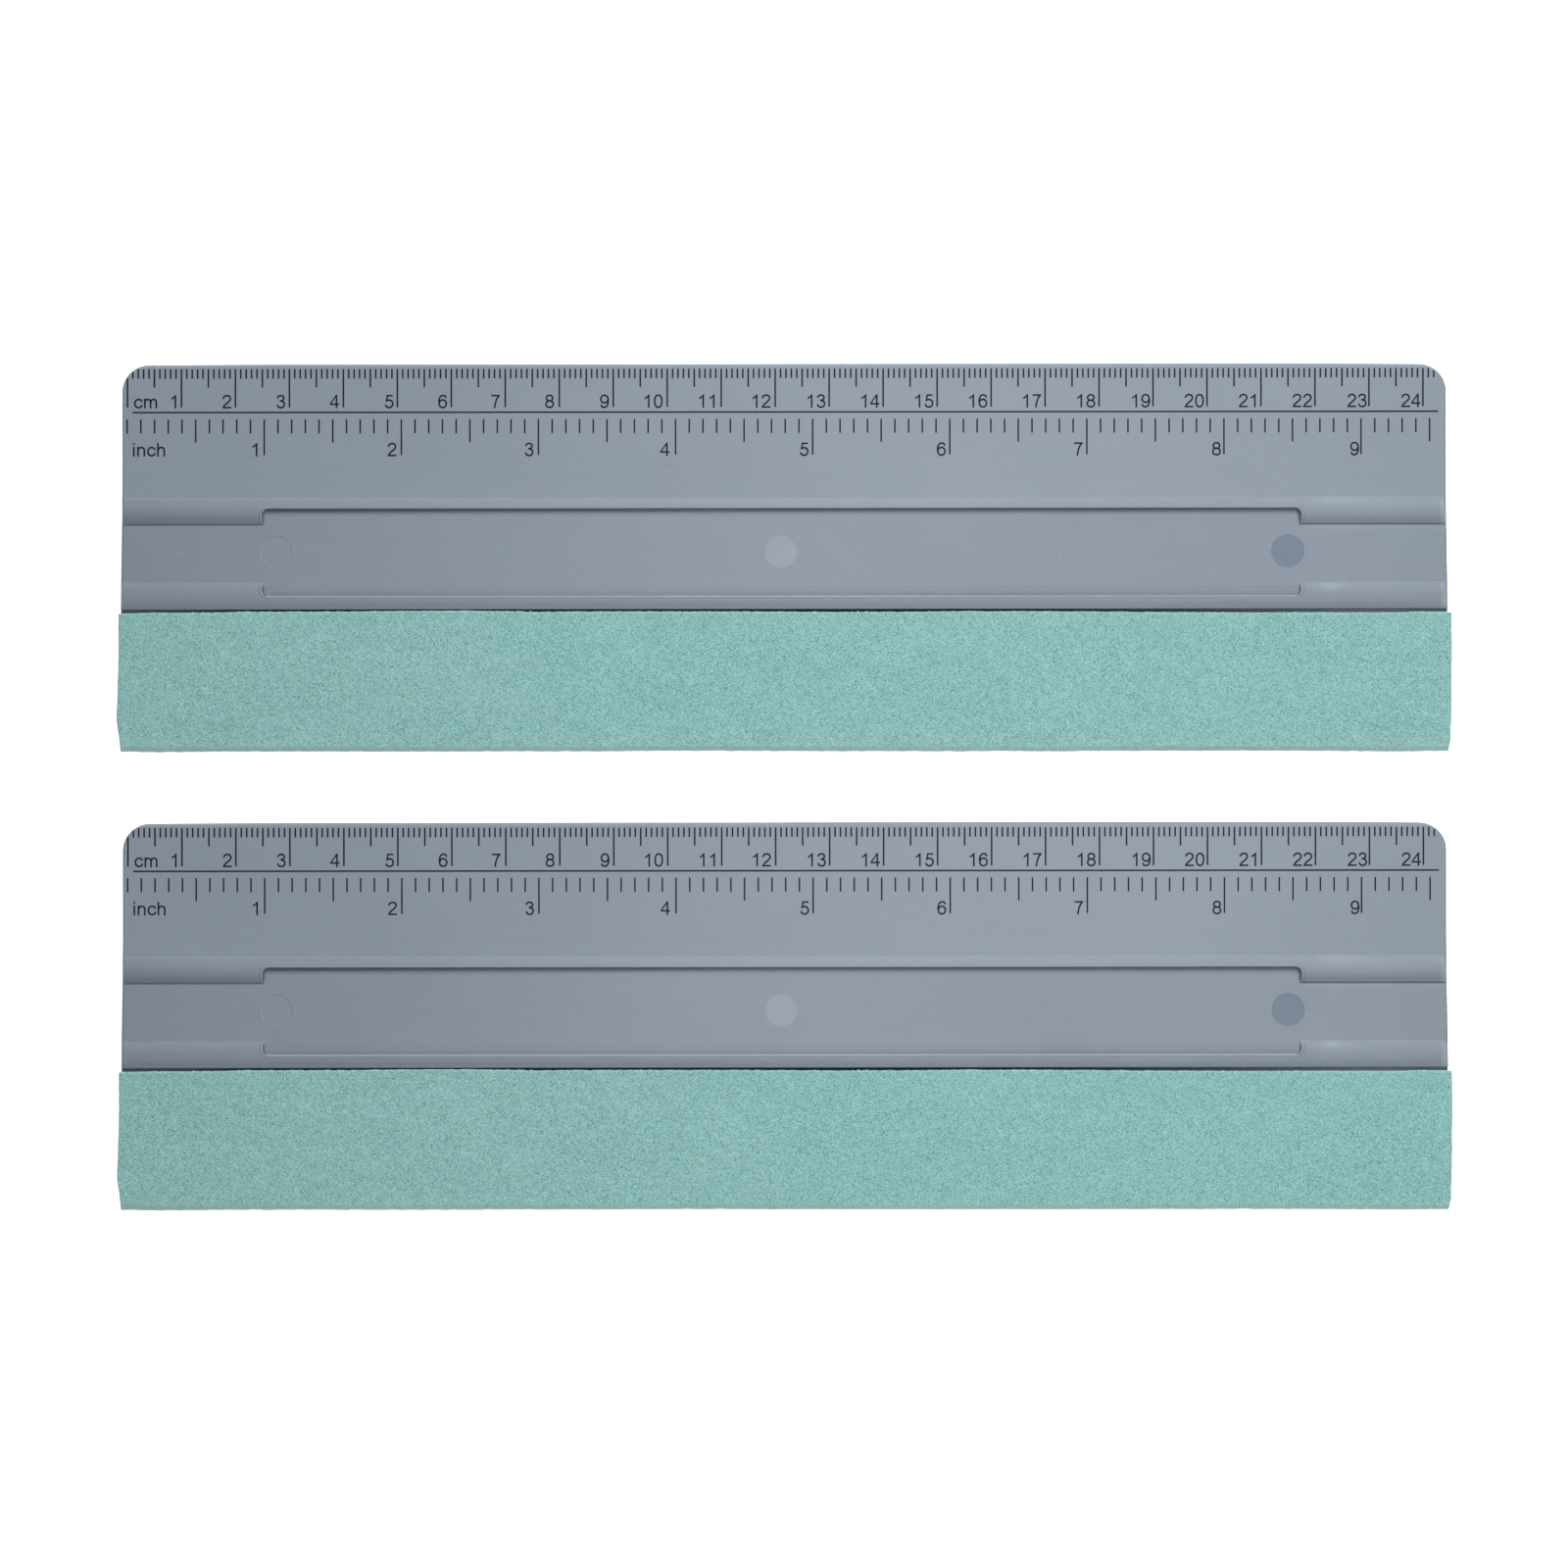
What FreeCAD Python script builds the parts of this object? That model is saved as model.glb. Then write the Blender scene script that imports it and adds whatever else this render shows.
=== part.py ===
import FreeCAD, Part
import math
import os

# A pair of long, flat squeegee rulers, lying parallel on a table, face up.
# Each one is a moulded plastic board with a centimetre and an inch scale
# printed along its upper edge, two stiffening beads, a shallow label pocket,
# and a thin blade whose edge carries a folded strip of suede.
#
# Frame: +X along the scale, +Y across the board towards the scale edge,
# +Z up from the table. The origin is under the middle of the pair.
# Units: millimetres. "d" is always the distance down from the scale edge.

V = FreeCAD.Vector

# ---------------------------------------------------------------- pair
PITCH = 85.0            # from one ruler's scale edge to the other's
HEIGHT = 71.6           # scale edge to the outside of the suede fold
SPAN = PITCH + HEIGHT   # the pair, edge to edge
Y_EDGE_A = SPAN / 2.0   # Y of the upper ruler's scale edge

# ---------------------------------------------------------------- board
W_TOP = 245.1           # board width beside the scale
D_FLARE = 22.0          # from here down the sides lean out a little
W_LOW = 245.9           # board width from the suede's cut edge down
CORNER_R = 5.0          # plan corners beside the scale
BLADE_CORNER_R = 2.2    # plan corners of the blade, under the suede
Z_FACE = 2.5            # printed face
Z_FLOOR = 2.15          # channel between the beads, and pocket floor
Z_ROOT = 1.6            # blade's upper face at its root
Z_TIP = 1.45            # blade's upper face at its tip
Z_BLADE = 0.9           # blade's lower face, rebated for the suede
EDGE_R = 0.6            # rounding along the scale edge
BACK_R = 0.3            # rounding along the back of the scale edge
# the beads' sections as (d, z): start, end of the ramp, crest, end of the
# crown, end of the ramp, and for bead 1 its foot in the channel
BEAD1 = ((24.65, Z_FACE), (25.5, 2.81), (27.0, 3.075), (28.8, 2.695),
         (29.45, 2.405), (29.75, Z_FLOOR))
BEAD2 = ((40.35, Z_FLOOR), (41.2, 2.46), (42.75, 2.725), (44.6, 2.345),
         (45.25, 2.05))
D_STEP = 45.3           # bead 2 ends in a little wall down to the blade
D_REBATE = 46.2         # back rebate's shoulder
D_TIP = 70.7            # blade tip, a full round
TIP_R = (Z_TIP - Z_BLADE) / 2.0
D_TURN = D_TIP - TIP_R  # where the blade's flats end and its round begins

# label pocket, cut through the beads down to the channel floor
POCKET_X = (-96.75, 95.95)
POCKET_D = (26.65, 43.05)
POCKET_R = 1.3
POCKET_DRAFT_SIDE = 0.22    # how much the long walls lean over their height
POCKET_DRAFT_END = 0.7      # how much the end walls lean

# ejector-pin witness marks in the channel
PIN_R = 3.0
PIN_D = 34.7
PIN_X = ((-94.1, 0.03), (-0.5, 0.05), (93.4, 0.06))   # position, depth

# ---------------------------------------------------------------- suede strip
SUEDE_T = 0.8
TAPE_T = 0.1
SUEDE_W = 247.2         # overhangs the board a little at both ends
SUEDE_X = 0.12          # and sits this far off centre
TAPE_W = 245.3
D_SUEDE_FRONT = 45.8    # cut edge on the face
D_SUEDE_BACK = 46.6     # cut edge on the back
SUEDE_CORNER_R = 1.6    # plan corners of the fold

# ---------------------------------------------------------------- print
INK_T = 0.03
INK_INSET = 0.22        # the print stops this far inside the outline
X_ZERO = -121.55        # zero of the centimetre scale
X_ZERO_IN = -121.62     # zero of the inch scale
MM_W = 0.295            # stroke of a centimetre-scale graduation
IN_W = 0.285             # stroke of an inch-scale graduation
CM_MARK_TOP = 0.80
CM_MARK_END = (2.54, 4.18, 7.88)     # millimetre, half, whole
CM_MARKS = 242                       # last graduation, in millimetres
IN_MARK_TOP = 10.1
IN_MARK_END = (12.7, 14.38, 16.73)  # tenth, half, whole
IN_MARKS = 95                        # last graduation, in tenths
RULE_D = 8.82
RULE_W = 0.28
RULE_X = (-120.6, 121.3)
CAP_H = 2.5             # height of a numeral
CM_BASE = 8.05          # baseline, distance down
IN_BASE = 16.96
CM_GAP = (0, .35, .60, .60, .62, .55, .65, .83, .83, .65, .70, .60, .70, .52,
          .52, .54, .56, .56, .56, .38, .42, .35, .40, .25, .27)
IN_GAP = (0, .63, .74, .74, .94, .60, .60, .60, .42, .22)
CM_LABEL_X = -120.46
IN_LABEL_X = -120.77


def at(x, d, z=0.0):
    """A point of the upper ruler from its distance down from the scale edge."""
    return V(x, Y_EDGE_A - d, z)


def line(a, b):
    return Part.LineSegment(a, b).toShape()


def arc3(a, m, b):
    return Part.Arc(a, m, b).toShape()


def polygon(points):
    pts = list(points)
    return Part.Face(Part.makePolygon(pts + [pts[0]]))


def half_width(d):
    """Half of the board's width at a distance down from the scale edge."""
    t = min(max((d - D_FLARE) / (D_SUEDE_FRONT - D_FLARE), 0.0), 1.0)
    return (W_TOP + (W_LOW - W_TOP) * t) / 2.0


# ---------------------------------------------------------------- plan outlines

def outline(inset=0.0, low=D_TIP, r_top=CORNER_R, r_low=BLADE_CORNER_R):
    """The board's plan outline at z = 0, pulled in by inset."""
    w0 = W_TOP / 2.0 - inset
    w1 = W_LOW / 2.0 - inset
    rt = r_top - inset
    rl = r_low
    d0, df, d1, d2 = inset, D_FLARE, D_SUEDE_FRONT, low
    k = math.sqrt(0.5)
    p = [at(-w0 + rt, d0), at(w0 - rt, d0), at(w0, d0 + rt), at(w0, df), at(w1, d1),
         at(w1, d2 - rl), at(w1 - rl, d2), at(-w1 + rl, d2), at(-w1, d2 - rl),
         at(-w1, d1), at(-w0, df), at(-w0, d0 + rt)]
    edges = [
        line(p[0], p[1]),
        arc3(p[1], at(w0 - rt + rt * k, d0 + rt - rt * k), p[2]),
        line(p[2], p[3]),
        line(p[3], p[4]),
        line(p[4], p[5]),
        arc3(p[5], at(w1 - rl + rl * k, d2 - rl + rl * k), p[6]),
        line(p[6], p[7]),
        arc3(p[7], at(-w1 + rl - rl * k, d2 - rl + rl * k), p[8]),
        line(p[8], p[9]),
        line(p[9], p[10]),
        line(p[10], p[11]),
        arc3(p[11], at(-w0 + rt - rt * k, d0 + rt - rt * k), p[0]),
    ]
    return Part.Wire(edges)


def rounded_rect(x0, x1, d0, d1, r, z):
    k = r * (1.0 - math.sqrt(0.5))
    edges = [
        line(at(x0 + r, d0, z), at(x1 - r, d0, z)),
        arc3(at(x1 - r, d0, z), at(x1 - k, d0 + k, z), at(x1, d0 + r, z)),
        line(at(x1, d0 + r, z), at(x1, d1 - r, z)),
        arc3(at(x1, d1 - r, z), at(x1 - k, d1 - k, z), at(x1 - r, d1, z)),
        line(at(x1 - r, d1, z), at(x0 + r, d1, z)),
        arc3(at(x0 + r, d1, z), at(x0 + k, d1 - k, z), at(x0, d1 - r, z)),
        line(at(x0, d1 - r, z), at(x0, d0 + r, z)),
        arc3(at(x0, d0 + r, z), at(x0 + k, d0 + k, z), at(x0 + r, d0, z)),
    ]
    return Part.Wire(edges)


# ---------------------------------------------------------------- board

def board():
    k = 1.0 - math.sqrt(0.5)
    x = -130.0

    def q(d, z):
        return at(x, d, z)

    edges = [
        line(q(0, BACK_R), q(0, Z_FACE - EDGE_R)),
        arc3(q(0, Z_FACE - EDGE_R), q(EDGE_R * k, Z_FACE - EDGE_R * k),
             q(EDGE_R, Z_FACE)),
        line(q(EDGE_R, Z_FACE), q(*BEAD1[0])),
        line(q(*BEAD1[0]), q(*BEAD1[1])),
        arc3(q(*BEAD1[1]), q(*BEAD1[2]), q(*BEAD1[3])),
        line(q(*BEAD1[3]), q(*BEAD1[4])),
        line(q(*BEAD1[4]), q(*BEAD1[5])),
        line(q(*BEAD1[5]), q(*BEAD2[0])),
        line(q(*BEAD2[0]), q(*BEAD2[1])),
        arc3(q(*BEAD2[1]), q(*BEAD2[2]), q(*BEAD2[3])),
        line(q(*BEAD2[3]), q(*BEAD2[4])),
        line(q(*BEAD2[4]), q(D_STEP, Z_ROOT)),
        line(q(D_STEP, Z_ROOT), q(D_TURN, Z_TIP)),
        arc3(q(D_TURN, Z_TIP), q(D_TIP, Z_BLADE + TIP_R), q(D_TURN, Z_BLADE)),
        line(q(D_TURN, Z_BLADE), q(D_REBATE, Z_BLADE)),
        line(q(D_REBATE, Z_BLADE), q(D_REBATE, 0.2)),
        line(q(D_REBATE, 0.2), q(D_REBATE - 0.2, 0)),
        line(q(D_REBATE - 0.2, 0), q(BACK_R, 0)),
        arc3(q(BACK_R, 0), q(BACK_R * k, BACK_R * k), q(0, BACK_R)),
    ]
    bar = Part.Face(Part.Wire(edges)).extrude(V(260, 0, 0))
    prism = Part.Face(outline()).extrude(V(0, 0, 6))
    body = bar.common(prism)

    low = rounded_rect(POCKET_X[0] + POCKET_DRAFT_END, POCKET_X[1] - POCKET_DRAFT_END,
                       POCKET_D[0] + POCKET_DRAFT_SIDE, POCKET_D[1] - POCKET_DRAFT_SIDE,
                       POCKET_R - POCKET_DRAFT_SIDE, Z_FLOOR)
    high = rounded_rect(POCKET_X[0], POCKET_X[1], POCKET_D[0], POCKET_D[1],
                        POCKET_R, BEAD1[2][1] + 0.1)
    pocket = Part.makeLoft([low, high], True, True)
    body = body.cut(pocket)
    for px, depth in PIN_X:
        pin = Part.makeCylinder(PIN_R, 1.0, at(px, PIN_D, Z_FLOOR - depth))
        body = body.cut(pin)
    return body.removeSplitter()


# ---------------------------------------------------------------- suede and tape

def folded_strip(width, d_front, d_back, inner, thickness, r_plan, shift=0.0):
    """A strip folded round the blade's edge. inner is the gap between the
    blade and the strip's inner face; thickness is the strip's own."""
    slope = (Z_ROOT - Z_TIP) / (D_TURN - D_STEP)

    def top(d, off):
        return Z_ROOT - slope * (d - D_STEP) + off

    zi0 = Z_BLADE - inner              # inner face, back leg
    zo0 = Z_BLADE - inner - thickness  # outer face, back leg
    ri = TIP_R + inner                 # both arcs share the blade round's centre
    ro = TIP_R + inner + thickness
    dc = D_TURN
    x = -width / 2.0

    def q(d, z):
        return at(x, d, z)

    zc_i = zi0 + ri
    zc_o = zo0 + ro
    edges = [
        line(q(d_front, top(d_front, inner)), q(d_front, top(d_front, inner + thickness))),
        line(q(d_front, top(d_front, inner + thickness)), q(dc, zo0 + 2 * ro)),
        arc3(q(dc, zo0 + 2 * ro), q(dc + ro, zc_o), q(dc, zo0)),
        line(q(dc, zo0), q(d_back, zo0)),
        line(q(d_back, zo0), q(d_back, zi0)),
        line(q(d_back, zi0), q(dc, zi0)),
        arc3(q(dc, zi0), q(dc + ri, zc_i), q(dc, zi0 + 2 * ri)),
        line(q(dc, zi0 + 2 * ri), q(d_front, top(d_front, inner))),
    ]
    strip = Part.Face(Part.Wire(edges)).extrude(V(width, 0, 0))
    d_out = dc + ro
    w = width / 2.0
    r = r_plan
    k = math.sqrt(0.5)
    pts = [at(-w, 40, -1), at(w, 40, -1), at(w, d_out - r, -1), at(w - r, d_out, -1),
           at(-w + r, d_out, -1), at(-w, d_out - r, -1)]
    plan = Part.Wire([
        line(pts[0], pts[1]), line(pts[1], pts[2]),
        arc3(pts[2], at(w - r + r * k, d_out - r + r * k, -1), pts[3]),
        line(pts[3], pts[4]),
        arc3(pts[4], at(-w + r - r * k, d_out - r + r * k, -1), pts[5]),
        line(pts[5], pts[0]),
    ])
    strip = strip.common(Part.Face(plan).extrude(V(0, 0, 8)))
    strip.translate(V(shift, 0, 0))
    return strip


# ---------------------------------------------------------------- lettering
# Plain numerals and the unit words, drawn as strokes of even weight.
# Glyph units: a numeral is 716 high and 556 wide with its side gaps.

UNIT = CAP_H / 716.0
STROKE = 88.0


def bez(p0, p1, p2, p3, n=8):
    out = []
    for i in range(n + 1):
        t = i / float(n)
        a, b, c, e = (1 - t) ** 3, 3 * t * (1 - t) ** 2, 3 * t * t * (1 - t), t ** 3
        out.append((a * p0[0] + b * p1[0] + c * p2[0] + e * p3[0],
                    a * p0[1] + b * p1[1] + c * p2[1] + e * p3[1]))
    return out


def chain(*pieces):
    out = list(pieces[0])
    for p in pieces[1:]:
        out += list(p)[1:]
    return out


def tangents(pts, closed):
    n = len(pts)
    out = []
    for i in range(n):
        if closed:
            a, b = pts[(i - 1) % n], pts[(i + 1) % n]
        else:
            a, b = pts[max(i - 1, 0)], pts[min(i + 1, n - 1)]
        dx, dy = b[0] - a[0], b[1] - a[1]
        m = math.hypot(dx, dy)
        out.append((dx / m, dy / m))
    return out


def glyph_point(p):
    return V(p[0] * UNIT, p[1] * UNIT, 0)


def spline(points, closed=False):
    curve = Part.BSplineCurve()
    curve.interpolate(Points=[glyph_point(p) for p in points], PeriodicFlag=closed)
    return curve.toShape()


def stroke(pts, weight=STROKE):
    """An open stroke: two parallel curves closed by square ends."""
    h = weight / 2.0
    tan = tangents(pts, False)
    left = [(p[0] - t[1] * h, p[1] + t[0] * h) for p, t in zip(pts, tan)]
    right = [(p[0] + t[1] * h, p[1] - t[0] * h) for p, t in zip(pts, tan)]
    wire = Part.Wire([
        spline(left), line(glyph_point(left[-1]), glyph_point(right[-1])),
        spline(right[::-1]), line(glyph_point(right[0]), glyph_point(left[0])),
    ])
    return Part.Face(wire)


def ring(cx, cy, rx, ry, power=2.25, weight=STROKE, n=24):
    """A closed stroke round a soft-cornered oval; rx and ry are its middle."""
    h = weight / 2.0
    pts = []
    for i in range(n):
        a = 2 * math.pi * i / n
        c, s = math.cos(a), math.sin(a)
        pts.append((cx + rx * math.copysign(abs(c) ** (2 / power), c),
                    cy + ry * math.copysign(abs(s) ** (2 / power), s)))
    tan = tangents(pts, True)
    outer = [(p[0] + t[1] * h, p[1] - t[0] * h) for p, t in zip(pts, tan)]
    inner = [(p[0] - t[1] * h, p[1] + t[0] * h) for p, t in zip(pts, tan)]
    return Part.Face(Part.Wire([spline(outer, True)])).cut(
        Part.Face(Part.Wire([spline(inner, True)])))


def poly(points):
    return polygon([glyph_point(p) for p in points])


def glyph_shapes():
    g = {}
    g["0"] = [ring(278, 353, 190, 320, 2.35)]
    g["1"] = [poly([(373, 0), (285, 0), (285, 556), (250, 528), (206, 499),
                    (158, 476), (109, 458), (109, 544), (176, 578), (236, 622),
                    (284, 670), (314, 716), (373, 716)])]
    g["2"] = [stroke(chain(
        bez((88, 500), (92, 612), (172, 674), (284, 674)),
        bez((284, 674), (390, 674), (460, 610), (460, 518)),
        bez((460, 518), (460, 425), (372, 352), (272, 268)),
        bez((272, 268), (180, 192), (116, 130), (92, 52)))),
        poly([(32, 0), (504, 0), (504, 84), (100, 84), (52, 84)])]
    g["3"] = [stroke(chain(
        bez((92, 530), (112, 625), (178, 674), (268, 674)),
        bez((268, 674), (362, 674), (430, 618), (430, 536)),
        bez((430, 536), (430, 446), (352, 392), (226, 392)))),
        stroke(chain(
            bez((226, 388), (380, 392), (462, 320), (462, 212)),
            bez((462, 212), (462, 106), (382, 32), (272, 32)),
            bez((272, 32), (168, 32), (104, 92), (86, 192))))]
    outer = poly([(323, 0), (411, 0), (411, 171), (508, 171), (508, 252),
                  (411, 252), (411, 716), (339, 716), (13, 252), (13, 171),
                  (323, 171)])
    g["4"] = [outer.cut(poly([(323, 252), (323, 572), (99, 252)]))]
    g["5"] = [stroke(chain(
        bez((128, 366), (166, 414), (216, 432), (272, 432)),
        bez((272, 432), (388, 432), (466, 354), (466, 238)),
        bez((466, 238), (466, 114), (384, 32), (268, 32)),
        bez((268, 32), (168, 32), (104, 92), (86, 190)))),
        poly([(90, 340), (168, 330), (218, 622), (472, 622), (472, 706), (148, 706)])]
    g["6"] = [ring(284, 234, 188, 202, 2.1), stroke(chain(
        bez((462, 528), (446, 620), (392, 674), (300, 674)),
        bez((300, 674), (160, 674), (84, 540), (84, 330)),
        bez((84, 330), (84, 290), (88, 262), (98, 222))))]
    g["7"] = [poly([(47, 704), (47, 620), (490, 620), (511, 640), (511, 704)]),
              stroke(chain(
                  bez((470, 664), (350, 540), (250, 330), (226, 0))))]
    g["8"] = [ring(278, 526, 168, 148, 2.1), ring(278, 208, 192, 176, 2.1)]
    g["c"] = [stroke(chain(
        bez((452, 350), (434, 430), (366, 476), (278, 476)),
        bez((278, 476), (152, 476), (82, 390), (82, 259)),
        bez((82, 259), (82, 124), (152, 42), (276, 42)),
        bez((276, 42), (374, 42), (442, 96), (458, 190))))]
    g["i"] = [poly([(66, 0), (154, 0), (154, 519), (66, 519)]),
              poly([(66, 615), (154, 615), (154, 716), (66, 716)])]
    arch = [stroke(chain(
        bez((117, 280), (117, 400), (180, 478), (276, 478)),
        bez((276, 478), (384, 478), (446, 420), (446, 318)),
        bez((446, 318), (446, 210), (446, 110), (446, 0))))]
    g["n"] = [poly([(66, 0), (154, 0), (154, 519), (66, 519)])] + arch
    g["h"] = [poly([(66, 0), (154, 0), (154, 716), (66, 716)])] + arch

    def hump(x0):
        return stroke(chain(
            bez((x0 + 7, 280), (x0 + 7, 400), (x0 + 60, 478), (x0 + 148, 478)),
            bez((x0 + 148, 478), (x0 + 246, 478), (x0 + 301, 424), (x0 + 301, 330)),
            bez((x0 + 301, 330), (x0 + 301, 220), (x0 + 301, 110), (x0 + 301, 0))))
    g["m"] = [poly([(66, 0), (154, 0), (154, 519), (66, 519)]), hump(110), hump(411)]
    solids = {}
    for name, faces in g.items():
        parts = [f.extrude(V(0, 0, INK_T)) for f in faces]
        shape = parts[0]
        if name == "i":
            shape = Part.makeCompound(parts)
        elif len(parts) > 1:
            shape = parts[0].fuse(parts[1:]).removeSplitter()
        solids[name] = shape
    nine = solids["6"].copy()
    nine.rotate(V(278 * UNIT, 353 * UNIT, 0), V(0, 0, 1), 180)
    solids["9"] = nine
    return solids


ADVANCE = {"c": 500, "m": 833, "i": 222, "n": 556, "h": 556}


def set_text(glyphs, text, x, d, align_right=False):
    """Glyph solids for a word; x is its left or right advance edge."""
    width = sum(ADVANCE.get(ch, 556) for ch in text) * UNIT
    left = x - width if align_right else x
    out = []
    for ch in text:
        shape = glyphs[ch].copy()
        shape.translate(at(left, d, Z_FACE))
        out += shape.Solids
        left += ADVANCE.get(ch, 556) * UNIT
    return out


def mark(x, d0, d1, w=MM_W):
    return Part.makeBox(w, d1 - d0, INK_T, at(x - w / 2.0, d1, Z_FACE))


def graduations(zero, step, last, top, ends, w_mark, prism, long_zero=True):
    out = []
    for i in range(last + 1):
        x = zero + i * step
        end = ends[2] if i % 10 == 0 else ends[1] if i % 10 == 5 else ends[0]
        if i == 0 and not long_zero:
            end = ends[0]
        m = mark(x, top, end, w_mark)
        w = half_width(top) - INK_INSET
        if abs(x) + MM_W > w - CORNER_R and top < CORNER_R or abs(x) + MM_W > w:
            m = m.common(prism)
        out += m.Solids
    return out


# ---------------------------------------------------------------- build

def upper_ruler():
    glyphs = glyph_shapes()
    prism = Part.Face(outline(inset=INK_INSET)).extrude(V(0, 0, 6))
    nodes = {}
    nodes["board"] = board()
    nodes["suede_edge"] = folded_strip(SUEDE_W, D_SUEDE_FRONT, D_SUEDE_BACK,
                                       TAPE_T, SUEDE_T, SUEDE_CORNER_R, SUEDE_X)
    nodes["adhesive_tape"] = folded_strip(TAPE_W, D_SUEDE_FRONT + 0.3, D_SUEDE_BACK + 0.3,
                                          0.0, TAPE_T, 1.4)
    nodes["cm_graduations"] = Part.makeCompound(
        graduations(X_ZERO, 1.0, CM_MARKS, CM_MARK_TOP, CM_MARK_END, MM_W, prism))
    nodes["inch_graduations"] = Part.makeCompound(
        graduations(X_ZERO_IN, 2.54, IN_MARKS, IN_MARK_TOP, IN_MARK_END, IN_W, prism,
                    long_zero=False))
    cm = []
    for n in range(1, 25):
        cm += set_text(glyphs, str(n), X_ZERO + 10.0 * n - CM_GAP[n], CM_BASE, True)
    nodes["cm_numerals"] = Part.makeCompound(cm)
    inch = []
    for n in range(1, 10):
        inch += set_text(glyphs, str(n), X_ZERO_IN + 25.4 * n - IN_GAP[n], IN_BASE, True)
    nodes["inch_numerals"] = Part.makeCompound(inch)
    nodes["cm_label"] = Part.makeCompound(set_text(glyphs, "cm", CM_LABEL_X, CM_BASE))
    nodes["inch_label"] = Part.makeCompound(set_text(glyphs, "inch", IN_LABEL_X, IN_BASE))
    nodes["scale_rule"] = Part.makeBox(
        RULE_X[1] - RULE_X[0], RULE_W, INK_T, at(RULE_X[0], RULE_D + RULE_W / 2.0, Z_FACE))
    return nodes


def main():
    os.makedirs("parts", exist_ok=True)
    for name, shape in sorted(upper_ruler().items()):
        lower = shape.copy()
        lower.translate(V(0, -PITCH, 0))
        for side, s in (("upper", shape), ("lower", lower)):
            node = side + "_" + name
            solids = s.Solids
            out = solids[0] if len(solids) == 1 else Part.makeCompound(solids)
            bb = out.BoundBox
            print("%-24s solids %3d valid %s vol %.2f box %.2f %.2f %.2f .. %.2f %.2f %.2f" % (
                node, len(solids), out.isValid(), sum(q.Volume for q in solids),
                bb.XMin, bb.YMin, bb.ZMin, bb.XMax, bb.YMax, bb.ZMax))
            out.exportStep("parts/" + node + ".step")


main()
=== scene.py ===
import math

import bpy
import numpy as np
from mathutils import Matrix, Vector


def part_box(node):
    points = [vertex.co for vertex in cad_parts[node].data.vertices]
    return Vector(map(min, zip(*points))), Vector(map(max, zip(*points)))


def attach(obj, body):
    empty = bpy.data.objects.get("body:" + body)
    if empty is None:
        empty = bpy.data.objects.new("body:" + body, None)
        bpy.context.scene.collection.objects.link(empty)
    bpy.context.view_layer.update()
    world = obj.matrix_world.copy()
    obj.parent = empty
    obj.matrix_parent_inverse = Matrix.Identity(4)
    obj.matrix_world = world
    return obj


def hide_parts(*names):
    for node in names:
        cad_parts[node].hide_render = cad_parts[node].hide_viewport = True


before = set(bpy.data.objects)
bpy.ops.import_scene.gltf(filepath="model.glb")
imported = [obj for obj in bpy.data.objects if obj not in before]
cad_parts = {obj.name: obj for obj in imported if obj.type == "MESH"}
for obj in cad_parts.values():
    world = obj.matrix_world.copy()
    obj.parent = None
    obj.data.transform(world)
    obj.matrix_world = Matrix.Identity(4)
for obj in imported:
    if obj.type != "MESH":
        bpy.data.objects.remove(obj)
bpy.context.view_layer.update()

MM = 0.001

# ---------------------------------------------------------------- camera first
# Straight down on the pair, +Y up in the picture, from far enough away that
# the beads hardly lean. The pair lies a hair off square to the picture.
scene = bpy.context.scene
scene.view_settings.view_transform = 'Standard'
scene.view_settings.look = 'None'
scene.view_settings.exposure = 0.0
scene.view_settings.gamma = 1.0

PX_PER_MM = 5.5076
CAM_Z = 1.05
cam_data = bpy.data.cameras.new("camera")
cam = bpy.data.objects.new("camera", cam_data)
scene.collection.objects.link(cam)
cam_data.sensor_fit = 'HORIZONTAL'
cam_data.sensor_width = 36.0
view_w = 1600.0 / PX_PER_MM * MM
cam_data.lens = 36.0 * (CAM_Z - 0.0025) / view_w
cam.location = (0.0, 0.00054, CAM_Z)
cam.rotation_euler = (0.0, 0.0, math.radians(-0.062))
cam_data.clip_start = 0.01
cam_data.clip_end = 20.0
scene.camera = cam

# ---------------------------------------------------------------- where things are
up_board_lo, up_board_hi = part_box("upper_board")
low_board_lo, low_board_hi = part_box("lower_board")
Y_EDGE = up_board_hi.y / MM                  # the upper ruler's scale edge, in mm
PITCH = up_board_hi.y - low_board_hi.y       # from ruler to ruler, in metres
SIDES = (("upper", 0.0), ("lower", -PITCH))

# The board's own sizes, in millimetres, as in the CAD model. "d" is the
# distance down from the scale edge.
W_TOP, W_LOW, D_FLARE, D_LOW = 245.1, 245.9, 22.0, 45.8
CORNER_R, BLADE_R = 5.0, 2.2
Z_FACE, Z_FLOOR, Z_ROOT, Z_TIP, Z_BLADE = 2.5, 2.15, 1.6, 1.45, 0.9
EDGE_R, SIDE_R, BACK_R = 0.60, 0.34, 0.3
BEAD1 = ((24.65, 2.5), (25.5, 2.81), (27.0, 3.075), (28.8, 2.695), (29.45, 2.405), (29.75, 2.15))
BEAD2 = ((40.35, 2.15), (41.2, 2.46), (42.75, 2.725), (44.6, 2.345), (45.25, 2.05))
D_STEP, D_REBATE, D_TIP = 45.3, 46.2, 70.7
TIP_R = (Z_TIP - Z_BLADE) / 2                # the blade's tip is a full round
D_TURN = D_TIP - TIP_R
SLOPE = (Z_ROOT - Z_TIP) / (D_TURN - D_STEP)  # how the blade thins towards its tip
POCKET_X, POCKET_D, POCKET_R = (-96.75, 95.95), (26.65, 43.05), 1.3
DRAFT_SIDE, DRAFT_END = 0.22, 0.7
PIN_R, PIN_D = 3.0, 34.7
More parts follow.
